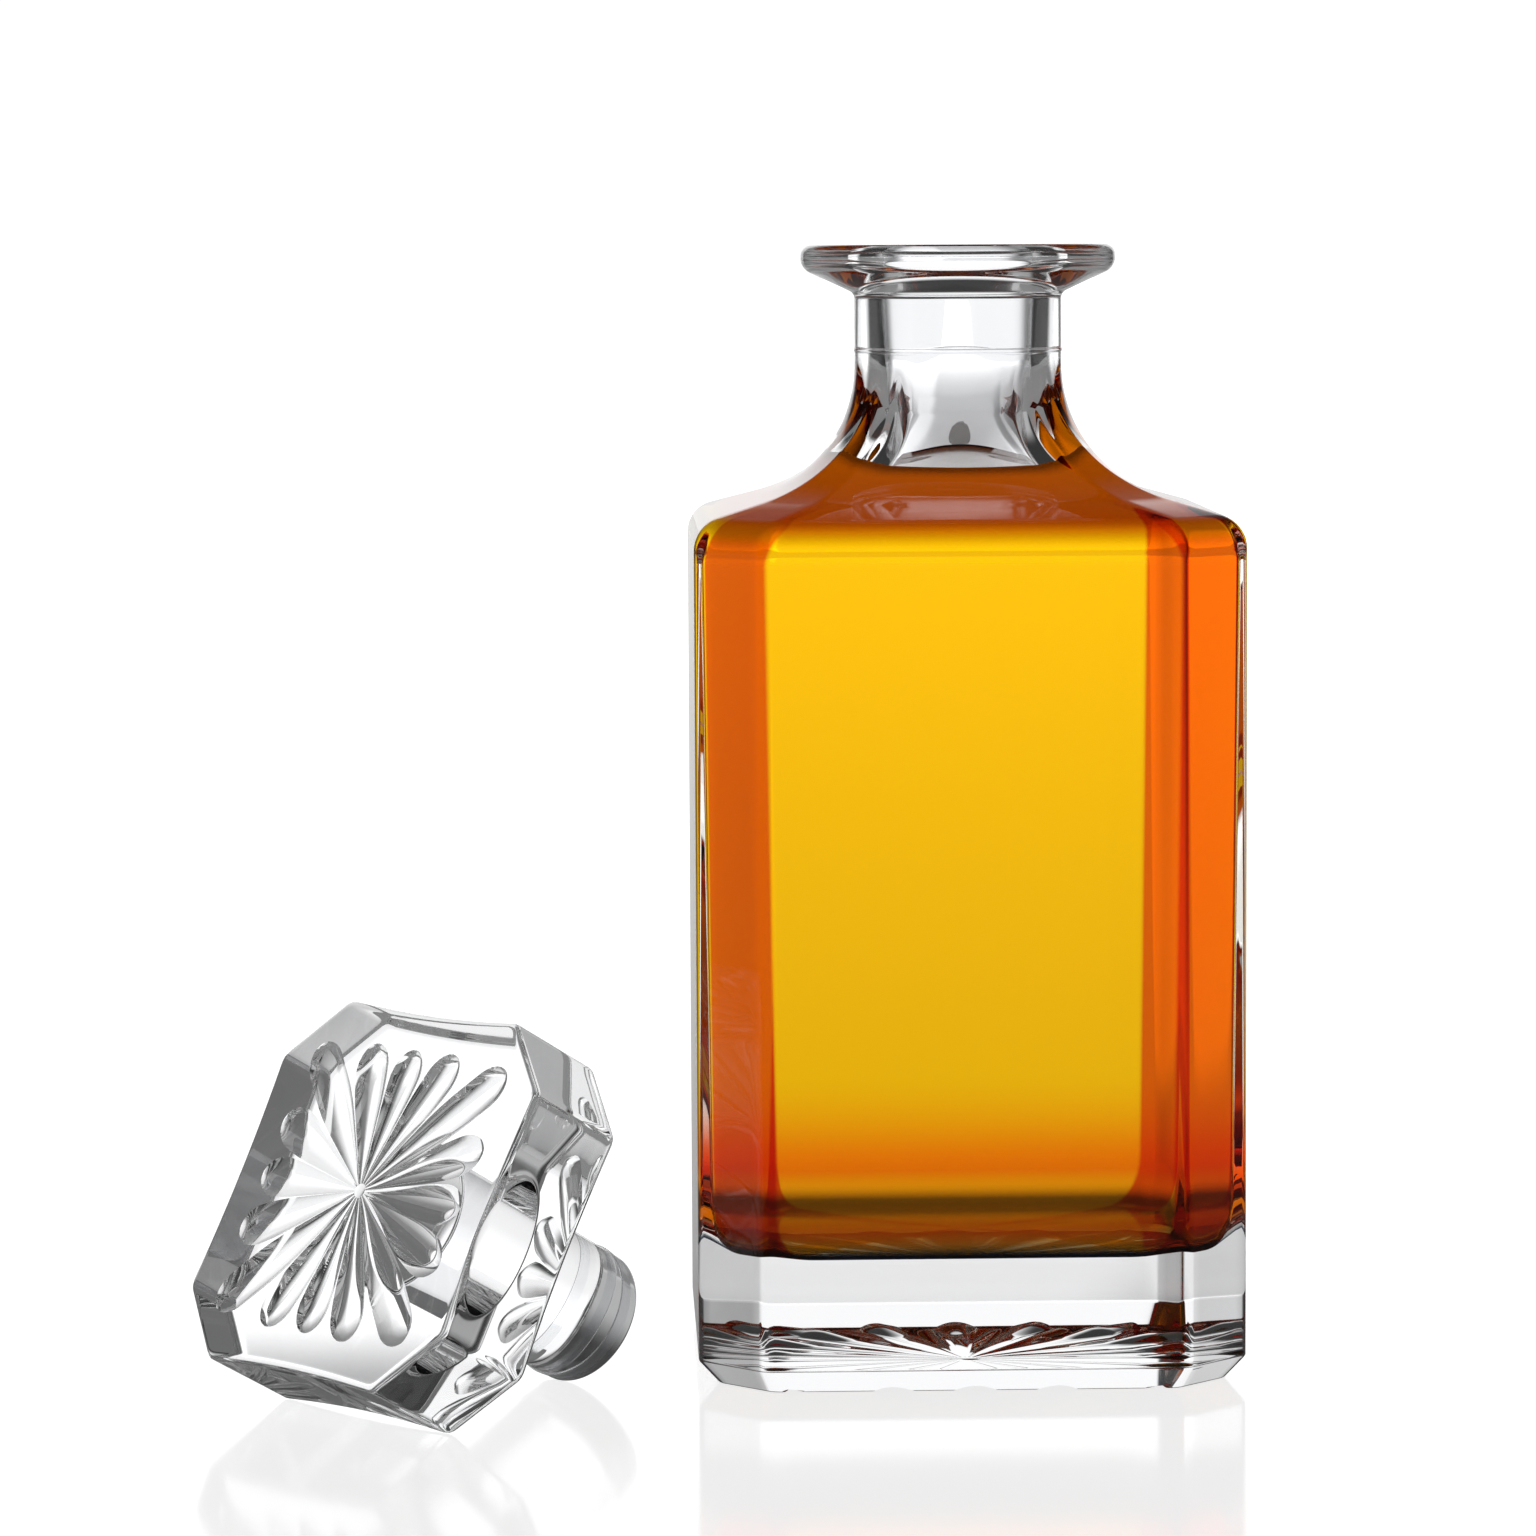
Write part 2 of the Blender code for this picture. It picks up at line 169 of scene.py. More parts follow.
# How finely things are divided.
SIDE_STEPS = 24
EDGE_STEPS = 4
CUT_STEPS = 8
FILLET_STEPS = 8
SWEEP_STEPS = 36
RAY_STEPS = 14
RAY_STATIONS = 12
BASE_RAY_STATIONS = 6
SHOULDER_ARC_STEPS = 12
FLOOR_ARC_STEPS = 14
EVEN_RINGS = 6  # rings above the shoulder over which the points become evenly spaced
EVEN_HEIGHT = 6.0 * MM  # and the same in the bore, as a height
EDGE_REACH = 1.3  # how far to both sides of a corner its close points go, in its softness
SOFT_LEAST = 0.05 * MM
SIDE_END = 0.008  # shares of a flat side: its last point, and where the even spacing begins
SIDE_EVEN_FROM = 0.03
SHARP_GLASS = math.radians(28.0)
SHARP_WHISKY = math.radians(60.0)
LEAST_TURN = 0.01  # radians: a flatter corner takes no fillet
GUARD = 0.25 * MM  # a ring this close to a fillet keeps the flat beside it flat

# Studio.
FLOOR_SEEN = 0.80  # how bright the floor is in plain view
FLOOR_GLOW = 0.54  # and through the bottle
FLOOR_GLOW_BY_STOPPER = 0.92
FLOOR_NEAR = 0.20  # how bright its dark parts are, seen through glass
FLOOR_FAR = 0.50  # and further off in front and at the sides
FLOOR_FAR_FROM = (0.35, 0.60)
FLOOR_FAR_SIDE = (0.10, -0.05)
FLOOR_BRIGHT_BEHIND = (-0.03, 0.03)  # metres behind the stopper's middle where it turns bright
FLOOR_BY_BOTTLE = (-0.03, 0.0)  # from the stopper's side to the bottle's
FLOOR_DARK_BEHIND_BOTTLE = 0.07  # so much further behind the bottle
FLOOR_FAN_FROM = (0.03, -0.02)  # the bright fan spreads from here
FLOOR_FAN_EDGE = math.radians(13.0)
FLOOR_FAN_FADES = math.radians(28.0)
FLOOR_STRIP_SIDE = (-0.14, -0.09)  # a bright strip runs back from the stopper
FLOOR_STRIP_END = (0.40, 0.25)
FLOOR_IN_MIRRORS = 0.12
WORLD_IN_MIRRORS = 0.15
PANEL_LEVEL = 1.03
SIDE_LEVEL = 0.42  # the side and front panels
BACK_PANEL_TURN = (0.55, 0.85)  # share of +Y in a direction, from the side panels to the back one
GAP_LEVEL = 0.04
BACKDROP_TURN = (0.90, 0.95)  # share of +Y, and of +Z, in the directions the floor mirrors from behind
BACKDROP_TOP = (0.40, 0.30)
PANEL_EDGE = math.radians(15.0)  # half the width of each bright panel, seen from the object
PANEL_FADES = math.radians(31.0)  # and where it has faded out
PANEL_TOP = 0.62  # sine of the height at which the panels end
PANEL_TOP_FADES = 0.30

FLOOR_HALF = 30.0
FLOOR_DROP = 0.02 * MM  # under the pieces, so that the two surfaces never fight
FLOOR_COLOUR = (0.55, 0.55, 0.55, 1.0)
FLOOR_ROUGHNESS = 0.10
FLOOR_IOR = 1.18

# Glowing card between the pieces, hidden from the camera: it puts painted grey shade in the stopper.
FLAG_OFF = 3.0 * MM  # from the bottle's side
FLAG_HALF = 60.0 * MM
FLAG_TOP = 200.0 * MM
FLAG_LEVEL = 0.16

# Optics.
CRYSTAL_IOR = 1.46
CRYSTAL_COLOUR = (0.985, 0.99, 1.0, 1.0)
RIPPLE_SCALE = 70.0
RIPPLE_STRETCH = 0.35
RIPPLE_DETAIL = 1.5
RIPPLE_DEPTH = 0.02 * MM
WHISKY_IOR = 1.36
WHISKY_COLOUR = (0.988, 0.8975, 0.02, 1.0)
WHISKY_DENSITY = 80.0
# Painted shade and painted reflection on the whisky's free surface: a near-black tint on the light
# that passes through it and a blue-grey tint on its mirror image.
SURFACE_PAINTED_SHADE_COLOUR = (0.020, 0.022, 0.040, 1.0)
SURFACE_PAINTED_REFLECTION_TINT = (0.40, 0.45, 0.60, 1.0)
SEAL_COLOUR = (0.93, 0.94, 0.95, 1.0)
SEAL_ROUGHNESS = 0.12
SEAL_IOR = 1.41
WHITE = (1.0, 1.0, 1.0, 1.0)
BOUNCES = 40
GLOSSY_BOUNCES = 20
CLEAR_BOUNCES = 16

# Camera, from the bottle's foot.
CAMERA_FROM_BOTTLE = Vector((-32.17, -978.05, 186.31)) * MM
CAMERA_PITCH = math.radians(5.14)
CAMERA_ROLL = math.radians(-0.307)
CAMERA_SENSOR = 36.0
CAMERA_LENS = 136.5


def smooth_min(a, b, soft):
    if soft <= 0.0:
        return min(a, b)
    blend = max(soft - abs(a - b), 0.0) / soft
    return min(a, b) - blend * blend * soft / 4


def outline_radius(angle, half, cut, soft, dip=0.0):
    """Distance from the middle to a square with cut, melted corners and hollow sides."""
    from_side = abs((angle + QUARTER / 2) % QUARTER - QUARTER / 2)
    along = half * math.tan(from_side) / (half - cut)
    to_side = (half - dip * (1 - min(along, 1.0) ** 2)) / math.cos(from_side)
    to_corner = (2 * half - cut) / math.sqrt(2) / math.cos(QUARTER / 2 - from_side)
    return smooth_min(to_side, to_corner, soft)


def side_shares():
    """Where a flat side's points stand along it: close together at its ends."""
    inner = SIDE_STEPS - 4
    even = 1 - 2 * SIDE_EVEN_FROM
    middle = [SIDE_EVEN_FROM + even * step / inner for step in range(inner + 1)]
    return [0.0, SIDE_END] + middle + [1 - SIDE_END]


def ring_angles(half, cut, soft, uniform):
    """Directions of a ring's points, following the corners. Uniform 1 spaces them evenly."""
    corner = math.atan2(half - cut, half)
    reach = EDGE_REACH * soft / math.hypot(half, half - cut)
    quarter = []
    low, high = -QUARTER / 2, -(corner + reach)
    for step in range(CUT_STEPS // 2):
        quarter.append(low + (high - low) * step / (CUT_STEPS // 2))
    for step in range(EDGE_STEPS):
        quarter.append(-(corner + reach) + 2 * reach * step / EDGE_STEPS)
    for share in side_shares():
        quarter.append((corner - reach) * (2 * share - 1))
    for step in range(EDGE_STEPS):
        quarter.append(corner - reach + 2 * reach * step / EDGE_STEPS)
    for step in range(CUT_STEPS // 2):
        quarter.append(-high + (high - low) * step / (CUT_STEPS // 2))
    count = len(quarter)
    angles = []
    for side in range(4):
        for index, angle in enumerate(quarter):
            even = -QUARTER / 2 + QUARTER * index / count
            angles.append(side * QUARTER + angle + (even - angle) * uniform)
    return angles


def section(z, half, cut, soft, roundness, uniform=0.0, dip=0.0):
    """One ring of points. Roundness 0 is the cut square, 1 is a circle of radius half."""
    ring = []
    for angle in ring_angles(half, cut, max(soft, SOFT_LEAST), uniform):
        square = outline_radius(angle, half, cut, soft, dip)
        radius = square + (half - square) * roundness
        ring.append(Vector((radius * math.cos(angle), radius * math.sin(angle), z)))
    return ring


def arc(centre, radius, start, end, steps):
    points = []
    for step in range(steps + 1):
        angle = start + (end - start) * step / steps
        points.append((centre[0] + radius * math.cos(angle), centre[1] + radius * math.sin(angle)))
    return points


def rounded(corners):
    """A profile through (distance, height, fillet radius) corners, with guards beside fillets."""
    points = [Vector(corners[0][:2])]
    for before, here, after in zip(corners, corners[1:], corners[2:]):
        spot = Vector(here[:2])
        back = (Vector(before[:2]) - spot).normalized()
        ahead = (Vector(after[:2]) - spot).normalized()
        opening = back.angle(ahead)
        radius = here[2]
        turn = math.pi - opening
        if radius <= 0.0 or turn < LEAST_TURN:
            points.append(spot)
            continue
        reach = radius / math.tan(opening / 2)
        centre = spot + (back + ahead).normalized() * radius / math.sin(opening / 2)
        start = spot + back * reach
        end = spot + ahead * reach
        points.append(start + back * min(GUARD, reach / 4))
        first = start - centre
        sign = 1.0 if first.x * (end - centre).y - first.y * (end - centre).x > 0 else -1.0
        for step in range(FILLET_STEPS + 1):
            angle = sign * turn * step / FILLET_STEPS
            c, s = math.cos(angle), math.sin(angle)
            points.append(centre + Vector((first.x * c - first.y * s, first.x * s + first.y * c)))
        points.append(end + ahead * min(GUARD, reach / 4))
    points.append(Vector(corners[-1][:2]))
    return [(p.x, p.y) for p in points]


def shoulder_profile(half, rounding, slope, neck_r, flare_r, flare_top_z):
    """From the straight side up over the shoulder to the neck, as (half, z, roundness)."""
    sweep_centre = (neck_r + flare_r, flare_top_z)
    lowest = math.radians(270.0) - slope
    slope_point = (
        sweep_centre[0] + flare_r * math.cos(lowest),
        sweep_centre[1] + flare_r * math.sin(lowest),
    )
    corner_r = half - rounding
    run = corner_r + rounding * math.sin(slope) - slope_point[0]
    top_z = slope_point[1] - run * math.tan(slope)
    corner_z = top_z - rounding * math.cos(slope)
    turn = QUARTER - slope
    profile = [(half, corner_z - GUARD, 0.0)]
    corner = arc((corner_r, corner_z), rounding, 0.0, turn, SHOULDER_ARC_STEPS)
    profile += [(r, z, 0.0) for r, z in corner]
    sweep = arc(sweep_centre, flare_r, lowest, math.pi, SWEEP_STEPS)
    for step, (r, z) in enumerate(sweep):
        profile.append((r, z, (step / SWEEP_STEPS) ** SHOULDER_FADE))
    return profile


def bottle_outside():
    """Rings of the outer surface, from the foot up to the edge of the mouth."""
    rings = []
    foot = rounded([
        (0.0, 0.0, 0.0),
        (BODY_HALF - FOOT_INSET, 0.0, FOOT_EDGE_ROUND),
        (BODY_HALF, FOOT_HEIGHT, FOOT_EDGE_ROUND),
        (BODY_HALF, FOOT_HEIGHT + FOOT_RUN, 0.0),
    ])[1:]
    for half, z in foot:
        cut = BODY_CUT - (BODY_HALF - half) * (2 - math.sqrt(2))
        rings.append(section(z, half, cut, EDGE_SOFT, 0.0))
    share = BODY_CUT / BODY_HALF
    shoulder = shoulder_profile(
        BODY_HALF,
        SHOULDER_ROUND,
        SHOULDER_SLOPE,
        NECK_R,
        FLARE_R,
        FLARE_TOP_Z,
    )
    for half, z, roundness in shoulder:
        soft = EDGE_SOFT * half / BODY_HALF
        rings.append(section(z, half, share * half, soft, roundness))
    cone_low = LIP_LOW_Z - (LIP_R - NECK_R) * math.tan(LIP_SLOPE)
    turned = rounded([
        (NECK_R, BEAD_Z - BEAD_SIDE - BEAD_RISE, 0.0),
        (NECK_R, BEAD_Z - BEAD_SIDE, BEAD_SIDE_ROUND),
        (NECK_R + BEAD_RISE, BEAD_Z, BEAD_ROUND),
        (NECK_R, BEAD_Z + BEAD_SIDE, BEAD_SIDE_ROUND),
        (NECK_R, cone_low, LIP_NECK_FILLET),
        (LIP_R, LIP_LOW_Z, LIP_LOW_ROUND),
        (LIP_R, LIP_Z, LIP_ROUND),
        (BORE_R, LIP_Z, MOUTH_ROUND),
        (BORE_R, LIP_Z - MOUTH_DEPTH, 0.0),
    ])
    for step, (radius, z) in enumerate(turned):
        even = min(1.0, step / EVEN_RINGS)
        rings.append(section(z, radius, share * radius, EDGE_SOFT, 1.0, uniform=even))
    return rings


def cavity_profile():
    """(half, z, roundness) of the inner surface, from the neck down to the floor."""
    down = shoulder_profile(
        CAVITY_TOP_HALF,
        CAVITY_SHOULDER_ROUND,
        CAVITY_SHOULDER_SLOPE,
        BORE_R,
        CAVITY_FLARE_R,
        CAVITY_FLARE_TOP_Z,
    )
    down.reverse()
    centre = (CAVITY_HALF - CAVITY_FLOOR_ROUND, CAVITY_FLOOR_Z + CAVITY_FLOOR_ROUND)
    for half, z in arc(centre, CAVITY_FLOOR_ROUND, 0.0, -QUARTER, FLOOR_ARC_STEPS):
        down.append((half, z, 0.0))
    return down


def between(low, high, z):
    share = (z - low[1]) / (high[1] - low[1])
    return tuple(a + (b - a) * share for a, b in zip(low, high))


def cavity_section(half, z, roundness, grow=0.0):
    share = CAVITY_CUT / CAVITY_HALF
    soft = CAVITY_SOFT * half / CAVITY_HALF
    even = max(0.0, min(1.0, (z - CAVITY_FLARE_TOP_Z) / EVEN_HEIGHT))
    return section(z, half + grow, share * half, soft, roundness, uniform=even)


def split_profile():
    """The cavity's profile above the whisky and below it, both with a ring at its edge."""
    edge_z = WHISKY_Z + MENISCUS_RISE
    profile = cavity_profile()
    dry = [p for p in profile if p[1] > edge_z]
    wet = [p for p in profile if p[1] <= edge_z]
    edge = between(wet[0], dry[-1], edge_z)
    return dry + [edge], [edge] + wet


def loft(bm, rings, material_index, start=None):
    """Quads between the rings. Returns the first and the last loop of vertices."""
    loops = [start] if start else [[bm.verts.new(p) for p in rings[0]]]
    for ring in rings if start else rings[1:]:
        loops.append([bm.verts.new(p) for p in ring])
    count = len(loops[0])
    for low, high in zip(loops, loops[1:]):
        for i in range(count):
            j = (i + 1) % count
            face = bm.faces.new((low[i], low[j], high[j], high[i]))
            face.material_index = material_index
    return loops[0], loops[-1]


def finish_mesh(bm, name, materials):
    bmesh.ops.recalc_face_normals(bm, faces=bm.faces)
    mesh = bpy.data.meshes.new(name)
    bm.to_mesh(mesh)
    bm.free()
    for material in materials:
        mesh.materials.append(material)
    item = bpy.data.objects.new(name, mesh)
    bpy.context.scene.collection.objects.link(item)
    return item


def add_ray(bm, angle, stations):
    """One ray's cutter on the face z = 0: a rounded groove below, a box above."""
    along = Vector((math.cos(angle), math.sin(angle), 0.0))
    across = Vector((-math.sin(angle), math.cos(angle), 0.0))
    loops = []
    for distance, half_width, depth in stations:
        shape = [(-half_width, STAR_ABOVE)]
        for step in range(RAY_STEPS + 1):
            side = -1 + 2 * step / RAY_STEPS
            shape.append((half_width * side, -depth * (1 - side * side)))
        shape.append((half_width, STAR_ABOVE))
        middle = along * distance
        loops.append([bm.verts.new(middle + across * s + Vector((0, 0, h))) for s, h in shape])
    count = len(loops[0])
    for near, far in zip(loops, loops[1:]):
        for i in range(count):
            j = (i + 1) % count
            bm.faces.new((near[i], near[j], far[j], far[i]))
    bm.faces.new(loops[0])
    bm.faces.new(list(reversed(loops[-1])))


def cut_star(item, rays, stations_for, placement):
    """Cuts a star into item. Its rays lie on the face z = 0 before the placement."""
    bm = bmesh.new()
    for ray in range(rays):
        angle = 2 * math.pi * ray / rays
        add_ray(bm, angle, stations_for(angle))
    bmesh.ops.transform(bm, matrix=placement, verts=bm.verts)
    cutter = finish_mesh(bm, item.name + "_cutter", [])
    boolean = item.modifiers.new("star", "BOOLEAN")
    boolean.operation = "DIFFERENCE"
    boolean.solver = "EXACT"
    boolean.object = cutter
    graph = bpy.context.evaluated_depsgraph_get()
    mesh = bpy.data.meshes.new_from_object(item.evaluated_get(graph))
    item.modifiers.remove(boolean)
    item.data = mesh
    bpy.data.objects.remove(cutter)


def shade(item, sharp=SHARP_GLASS):
    item.data.shade_smooth()
    item.data.set_sharp_from_angle(angle=sharp)


def base_star_stations(angle):
    """A ray of the base's star: it swells evenly between its stations, at any angle."""
    stations = []
    for near, far in zip(BASE_STAR_STATIONS, BASE_STAR_STATIONS[1:]):
        for step in range(BASE_RAY_STATIONS):
            share = step / BASE_RAY_STATIONS
            stations.append(tuple(a + (b - a) * share for a, b in zip(near, far)))
    return stations + [BASE_STAR_STATIONS[-1]]


def head_star_stations(angle):
    """A ray of the head's star: it meets its neighbours out from the hub, then closes to a drop."""
    from_side = abs((angle + QUARTER / 2) % QUARTER - QUARTER / 2)
    reach = min(HEAD_STAR_HALF / math.cos(from_side), HEAD_STAR_REACH)
    spread = math.tan(math.pi / HEAD_STAR_RAYS) * HEAD_STAR_FILL
    tip = HEAD_STAR_WIDTH * HEAD_STAR_TIP
    far = reach - tip
    stations = []
    for step in range(RAY_STATIONS):
        distance = HEAD_STAR_HUB + (far - HEAD_STAR_HUB) * step / RAY_STATIONS
        width = smooth_min(distance * spread, HEAD_STAR_WIDTH, HEAD_STAR_BLEND)
        stations.append((distance, width))
    full = smooth_min(far * spread, HEAD_STAR_WIDTH, HEAD_STAR_BLEND)
    for degrees in HEAD_STAR_TIP_TURNS:
        turn = math.radians(degrees)
        stations.append((far + tip * math.cos(turn), full * math.sin(turn)))
    return [(d, w, w * HEAD_STAR_DEPTH) for d, w in stations]


def math_node(tree, operation, first, second=None):
    node = tree.nodes.new("ShaderNodeMath")
    node.operation = operation
    for index, value in enumerate((first, second)):
        if value is None:
            continue
        if isinstance(value, (int, float)):
            node.inputs[index].default_value = value
        else:
            tree.links.new(value, node.inputs[index])
    return node.outputs[0]


def ramp(tree, value, low, high):
    """0 at low, 1 at high, smooth between."""
    node = tree.nodes.new("ShaderNodeMapRange")
    node.interpolation_type = "SMOOTHSTEP"
    node.inputs["From Min"].default_value = low
    node.inputs["From Max"].default_value = high
    tree.links.new(value, node.inputs["Value"])
    return node.outputs["Result"]


def for_mirror(tree, share):
    """1 for most rays, and this share for rays that have just been mirrored."""
    path = tree.nodes.new("ShaderNodeLightPath")
    glossy, reflected = path.outputs["Is Glossy Ray"], path.outputs["Is Reflection Ray"]
    mirrored = math_node(tree, "MULTIPLY", glossy, reflected)
    return math_node(tree, "SUBTRACT", 1.0, math_node(tree, "MULTIPLY", mirrored, 1.0 - share))


def material_output(tree):
    return next(n for n in tree.nodes if n.type == "OUTPUT_MATERIAL")


def principled(name, **values):
    material = bpy.data.materials.new(name)
    material.use_nodes = True
    shader = material.node_tree.nodes["Principled BSDF"]
    for socket, value in values.items():
        shader.inputs[socket.replace("_", " ")].default_value = value
    return material


def add_ripple(material):
    """Faint pressing ripple: slow noise in the glass's own coordinates, as a bump."""
    tree = material.node_tree
    coordinates = tree.nodes.new("ShaderNodeTexCoord")
    mapping = tree.nodes.new("ShaderNodeMapping")
    mapping.inputs["Scale"].default_value = (1.0, 1.0, RIPPLE_STRETCH)
    ripple = tree.nodes.new("ShaderNodeTexNoise")
    ripple.inputs["Scale"].default_value = RIPPLE_SCALE
    ripple.inputs["Detail"].default_value = RIPPLE_DETAIL
    bump = tree.nodes.new("ShaderNodeBump")
    bump.inputs["Strength"].default_value = 1.0
    bump.inputs["Distance"].default_value = RIPPLE_DEPTH
    tree.links.new(coordinates.outputs["Object"], mapping.inputs["Vector"])
    tree.links.new(mapping.outputs["Vector"], ripple.inputs["Vector"])
    tree.links.new(ripple.outputs["Fac"], bump.inputs["Height"])
    tree.links.new(bump.outputs["Normal"], tree.nodes["Principled BSDF"].inputs["Normal"])


def crystal(name, ior):
    material = principled(
        name,
        Base_Color=CRYSTAL_COLOUR,
        Roughness=0.0,
        IOR=ior,
        Transmission_Weight=1.0,
    )
    add_ripple(material)
    return material


def paint_whisky_shade(material):
    """Paints shade into the whisky's skin colour: a deeper amber at its corners, its shoulder and
    above its floor, standing in for the longer path through the drink, and dark shade just under its
    top and at its floor.
    """
    tree = material.node_tree
    coordinates = tree.nodes.new("ShaderNodeTexCoord")
    place = tree.nodes.new("ShaderNodeMapping")
    place.vector_type = "TEXTURE"
    place.inputs["Location"].default_value = BOTTLE_AT
    place.inputs["Rotation"].default_value = (0.0, 0.0, BOTTLE_TURN)
    tree.links.new(coordinates.outputs["Object"], place.inputs["Vector"])
    split = tree.nodes.new("ShaderNodeSeparateXYZ")
    tree.links.new(place.outputs["Vector"], split.inputs["Vector"])
    x, y, z = split.outputs
    x = math_node(tree, "ABSOLUTE", x)
    y = math_node(tree, "ABSOLUTE", y)
    lesser, greater = math_node(tree, "MINIMUM", x, y), math_node(tree, "MAXIMUM", x, y)
    corner = ramp(tree, math_node(tree, "DIVIDE", lesser, greater), *PAINTED_CORNER_DEPTH)
    corner = math_node(tree, "MULTIPLY", corner, ramp(tree, z, *CORNER_ENDS))
    above_floor = ramp(tree, z, *FLOOR_CLEAR)
    near_floor = math_node(tree, "MULTIPLY", ramp(tree, z, *PAINTED_FLOOR_DEPTH), above_floor)
    colour = None
    for zone, tint in (
        (corner, PAINTED_CORNER_DEPTH_TINT),
        (ramp(tree, z, *PAINTED_SHOULDER_DEPTH), PAINTED_SHOULDER_DEPTH_TINT),
        (near_floor, PAINTED_FLOOR_DEPTH_TINT),
        (ramp(tree, z, *PAINTED_TOP_SHADE), PAINTED_TOP_SHADE_TINT),
        (ramp(tree, z, *PAINTED_FLOOR_SHADE), PAINTED_FLOOR_SHADE_TINT),
    ):
        mix = tree.nodes.new("ShaderNodeMix")
        mix.data_type = "RGBA"
        mix.blend_type = "MULTIPLY"
        tree.links.new(zone, mix.inputs["Factor"])
        first, second = (i for i in mix.inputs if i.type == "RGBA")
        if colour is None:
            first.default_value = WHITE
        else:
            tree.links.new(colour, first)
        second.default_value = (*tint, 1.0)
        colour = next(o for o in mix.outputs if o.type == "RGBA")
    tree.links.new(colour, tree.nodes["Principled BSDF"].inputs["Base Color"])


def whisky(name, ior, **values):
    """Whisky's surface, with the drink's absorption behind it."""
    material = principled(name, Roughness=0.0, IOR=ior, Transmission_Weight=1.0, **values)
    tree = material.node_tree
    absorb = tree.nodes.new("ShaderNodeVolumeAbsorption")
    absorb.inputs["Color"].default_value = WHISKY_COLOUR
    absorb.inputs["Density"].default_value = WHISKY_DENSITY
    tree.links.new(absorb.outputs["Volume"], material_output(tree).inputs["Volume"])
    return material


def make_bottle(dry_glass, wet_glass):
    dry, wet = split_profile()
    bm = bmesh.new()
    foot, mouth = loft(bm, bottle_outside(), 0)
    inner = [cavity_section(*p) for p in dry]
    _, edge = loft(bm, inner, 0, start=mouth)
    _, floor = loft(bm, [cavity_section(*p) for p in wet[1:]], 1, start=edge)
    bm.faces.new(foot)
    cap = bm.faces.new(floor)
    cap.material_index = 1
    bottle = finish_mesh(bm, "bottle_glass", [dry_glass, wet_glass])
    upside_down = Matrix.Rotation(math.pi, 4, "X")
    cut_star(bottle, BASE_STAR_RAYS, base_star_stations, upside_down)
    shade(bottle)
    bottle.data.transform(BOTTLE_PLACE)
    return bottle


def make_whisky(body, surface):
    """The whisky: its sides and floor lie in the glass's skin, its top is the free surface."""
    _, wet = split_profile()
    bm = bmesh.new()
    rings = []
    for half, z, roundness in wet:
        if z <= CAVITY_FLOOR_Z + MM:
            z -= WHISKY_OVERLAP
        rings.append(cavity_section(half, z, roundness, grow=WHISKY_OVERLAP))
    edge, floor = loft(bm, rings, 0)
    bm.faces.new(floor)
    centre = Vector((0.0, 0.0, 0.0))
    for vert in edge:
        centre += vert.co / len(edge)
    rim = [vert.co.copy() for vert in edge]
    rings = []
    for step in range(1, SURFACE_RINGS + 1):
        share = 1 - (step / (SURFACE_RINGS + 0.5)) ** SURFACE_SPREAD
        if step == SURFACE_RINGS:
            share = SURFACE_MIDDLE
        ring = []
        for point in rim:
            spot = centre + (point - centre) * share
            inwards = (point - centre).length * (1 - share)
            spot.z = WHISKY_Z + MENISCUS_RISE * math.exp(-inwards / MENISCUS_REACH)
            ring.append(spot)
        rings.append(ring)
    _, last = loft(bm, rings, 1, start=edge)
    cap = bm.faces.new(last)
    cap.material_index = 1
    drink = finish_mesh(bm, "whisky_fill", [body, surface])
    shade(drink, sharp=SHARP_WHISKY)
    drink.data.transform(BOTTLE_PLACE)
    return drink


def plug_radius(z):
    return PLUG_R_END + (PLUG_R_HEAD - PLUG_R_END) * z / PLUG_LENGTH


def turned_section(radius, z):
    return section(z, radius, radius / 4, EDGE_SOFT, 1.0, uniform=1.0)


def head_section(half, z):
    cut = HEAD_CUT - (HEAD_HALF - half) * (2 - math.sqrt(2))
    return section(z, half, cut, EDGE_SOFT, 0.0, dip=HEAD_DIP)


def lay_down(item):
    """Lays the stopper down: it rests on one lower edge of its head and on its plug's end."""
    rim_r = HEAD_HALF
    rim_z = PLUG_LENGTH + HEAD_BEVEL
    end = arc((PLUG_R_END - PLUG_ROUND, PLUG_ROUND), PLUG_ROUND, -QUARTER, 0.0, END_ARC_STEPS)
    tilt = min(math.atan2(rim_r - r, rim_z - z) for r, z in end)
    height = rim_r * math.cos(tilt) - rim_z * math.sin(tilt)
    ahead_x, ahead_y = math.cos(STOPPER_HEADING), math.sin(STOPPER_HEADING)
    face = Vector((ahead_x, ahead_y, 0.0)) * math.cos(tilt)
    face.z = math.sin(tilt)
    level = Vector((-ahead_y, ahead_x, 0.0))
    up = face.cross(level)
    turned = Matrix((level, up, face)).transposed().to_4x4()
    place = BOTTLE_AT + STOPPER_OFFSET + Vector((0.0, 0.0, height))
    item.data.transform(Matrix.Translation(place) @ turned)


